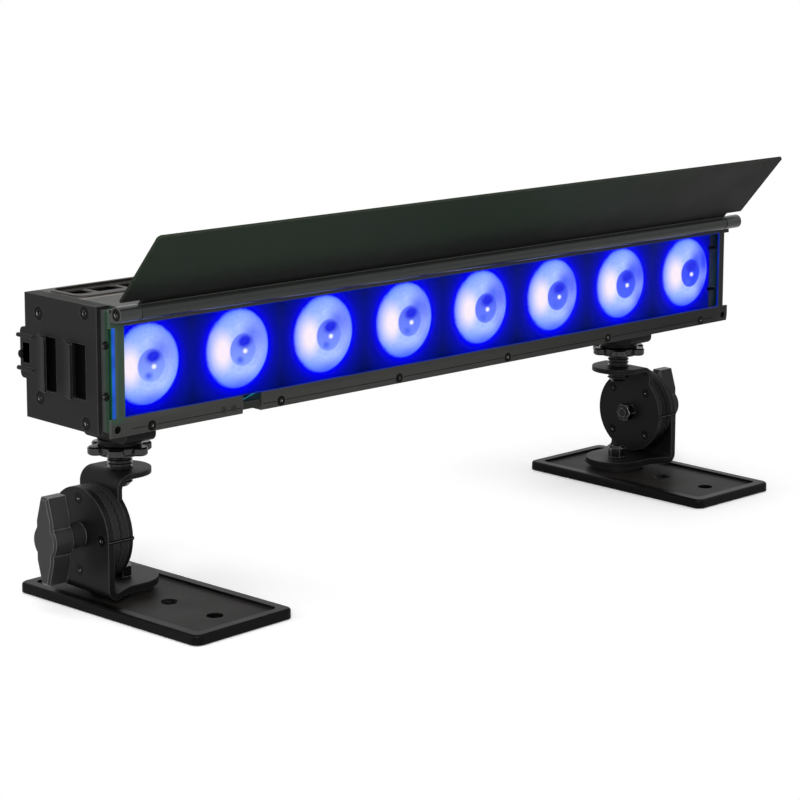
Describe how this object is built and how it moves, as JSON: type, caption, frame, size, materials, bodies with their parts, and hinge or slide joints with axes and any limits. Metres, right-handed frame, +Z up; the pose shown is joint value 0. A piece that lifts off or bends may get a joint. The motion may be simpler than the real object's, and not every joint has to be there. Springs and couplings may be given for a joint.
{
  "type": "led pixel bar",
  "caption": "Slim LED pixel bar: round lenses behind a long glass window, hinged glare flap, end plates with linking louvres, tilting bracket feet on flat base plates.",
  "frame": {"origin": "middle of the whole part's box, on the floor under the base plates", "axes": "+X along the bar, -Y the side the light leaves, +Z up"},
  "size_m": [0.518, 0.148, 0.2113],
  "materials": {
    "housing_coat": "fine matte black powder coat on extruded aluminium",
    "plate_coat": "fine matte black powder coat on sheet",
    "frame_coat": "matte black powder coat, catches the light",
    "cover_coat": "matte black powder coat",
    "flap_coat": "satin black powder coat",
    "bracket_coat": "satin black powder coat on bent steel",
    "rosette_coat": "black cast rosette, satin",
    "base_coat": "satin black powder coat on steel plate",
    "black_screw": "black oxide, semi gloss",
    "stud_steel": "black zinc thread, semi gloss",
    "knob_plastic": "black glass-filled plastic",
    "clear_glass": "clear toughened glass",
    "lens_clear": "clear moulded optic lit blue",
    "mask_navy": "matte dark mask lit blue",
    "gasket_rubber": "matte black silicone",
    "board_white": "white solder mask",
    "emitter": "lit emitter dome",
    "board_green": "green circuit board",
    "display_glass": "dark display window",
    "panel_plastic": "matte black label panel, bare",
    "button_plastic": "grey moulded key",
    "socket_plastic": "black moulded socket"
  },
  "bodies": {
    "foot_left": {"lower_bracket_left": "bracket_coat", "outer_rosette_left": "rosette_coat", "outer_screws_left": "black_screw", "puck_left": "knob_plastic", "base_bolt_left": "black_screw"},
    "foot_right": {"lower_bracket_right": "bracket_coat", "outer_rosette_right": "rosette_coat", "outer_screws_right": "black_screw", "puck_right": "knob_plastic", "base_bolt_right": "black_screw"},
    "head": {"housing": "housing_coat", "vent_cover": "cover_coat", "front_frame": "frame_coat", "glass": "clear_glass", "glass_gasket": "gasket_rubber", "inner_frame": "plate_coat", "lens_mask": "mask_navy", "led_board": "board_white", "led_emitters": "emitter", "end_plate_left": "plate_coat", "end_plate_right": "plate_coat", "link_studs": "black_screw", "rear_panel": "panel_plastic", "display": "display_glass", "driver_board": "board_green", "power_in": "socket_plastic", "data_in": "socket_plastic", "data_out": "socket_plastic", "power_out": "socket_plastic", "studs": "stud_steel", "clamp_blocks": "bracket_coat", "upper_brackets": "bracket_coat", "inner_rosettes": "rosette_coat", "centre_nuts": "black_screw", "lens_1": "lens_clear", "lens_2": "lens_clear", "lens_3": "lens_clear", "lens_4": "lens_clear", "lens_5": "lens_clear", "lens_6": "lens_clear", "lens_7": "lens_clear", "lens_8": "lens_clear", "cover_screws": "black_screw", "rail_screws": "black_screw", "side_screws": "black_screw", "hinge_screws": "black_screw", "end_plate_screws": "black_screw", "inner_rosette_screws": "black_screw"},
    "base_left": {"base_plate_left": "base_coat"},
    "handle_left": {"t_handle_left": "knob_plastic"},
    "star_left": {"star_nut_left": "knob_plastic"},
    "base_right": {"base_plate_right": "base_coat"},
    "handle_right": {"t_handle_right": "knob_plastic"},
    "star_right": {"star_nut_right": "knob_plastic"},
    "flap": {"flap": "flap_coat"},
    "catch": {"frame_catch": "black_screw"},
    "menu_button": {"menu_button": "button_plastic"},
    "up_button": {"up_button": "button_plastic"},
    "down_button": {"down_button": "button_plastic"},
    "enter_button": {"enter_button": "button_plastic"}
  },
  "joints": [
    {"name": "tilt", "type": "hinge", "parent": "foot_left", "child": "head", "pos_m": [0.0045, 0.02635, 0.0392], "axis": [1, 0, 0], "range_deg": [-70, 60]},
    {"name": "tilt_right_foot", "type": "hinge", "parent": "head", "child": "foot_right", "pos_m": [0.197, 0.02635, 0.0392], "axis": [1, 0, 0], "range_deg": [-60, 70]},
    {"name": "base_left_swivel", "type": "hinge", "parent": "foot_left", "child": "base_left", "pos_m": [-0.208, 0.02635, 0.004], "axis": [0, 0, 1], "continuous": true},
    {"name": "handle_left_turn", "type": "hinge", "parent": "foot_left", "child": "handle_left", "pos_m": [-0.208, 0.02635, 0.0392], "axis": [1, 0, 0], "range_deg": [-180, 180]},
    {"name": "star_left_turn", "type": "hinge", "parent": "head", "child": "star_left", "pos_m": [-0.208, 0.02635, 0.081], "axis": [0, 0, 1], "range_deg": [-180, 180]},
    {"name": "base_right_swivel", "type": "hinge", "parent": "foot_right", "child": "base_right", "pos_m": [0.197, 0.02635, 0.004], "axis": [0, 0, 1], "continuous": true},
    {"name": "handle_right_turn", "type": "hinge", "parent": "foot_right", "child": "handle_right", "pos_m": [0.197, 0.02635, 0.0392], "axis": [1, 0, 0], "range_deg": [-180, 180]},
    {"name": "star_right_turn", "type": "hinge", "parent": "head", "child": "star_right", "pos_m": [0.197, 0.02635, 0.081], "axis": [0, 0, 1], "range_deg": [-180, 180]},
    {"name": "flap_hinge", "type": "hinge", "parent": "head", "child": "flap", "pos_m": [0.0045, -0.02215, 0.166], "axis": [1, 0, 0], "range_deg": [-70, 138]},
    {"name": "catch_slide", "type": "slide", "parent": "head", "child": "catch", "axis": [0, 0, 1], "range_m": [0, 0.0015], "stiffness_N_per_m": 300, "springref_m": -0.0015},
    {"name": "menu_button_press", "type": "slide", "parent": "head", "child": "menu_button", "axis": [0, 1, 0], "range_m": [-0.0008, 0], "stiffness_N_per_m": 400, "springref_m": 0.0005},
    {"name": "up_button_press", "type": "slide", "parent": "head", "child": "up_button", "axis": [0, 1, 0], "range_m": [-0.0008, 0], "stiffness_N_per_m": 400, "springref_m": 0.0005},
    {"name": "down_button_press", "type": "slide", "parent": "head", "child": "down_button", "axis": [0, 1, 0], "range_m": [-0.0008, 0], "stiffness_N_per_m": 400, "springref_m": 0.0005},
    {"name": "enter_button_press", "type": "slide", "parent": "head", "child": "enter_button", "axis": [0, 1, 0], "range_m": [-0.0008, 0], "stiffness_N_per_m": 400, "springref_m": 0.0005}
  ],
  "couplings": [
    {"joint": "tilt_right_foot", "follows": "tilt", "ratio": -1}
  ]
}
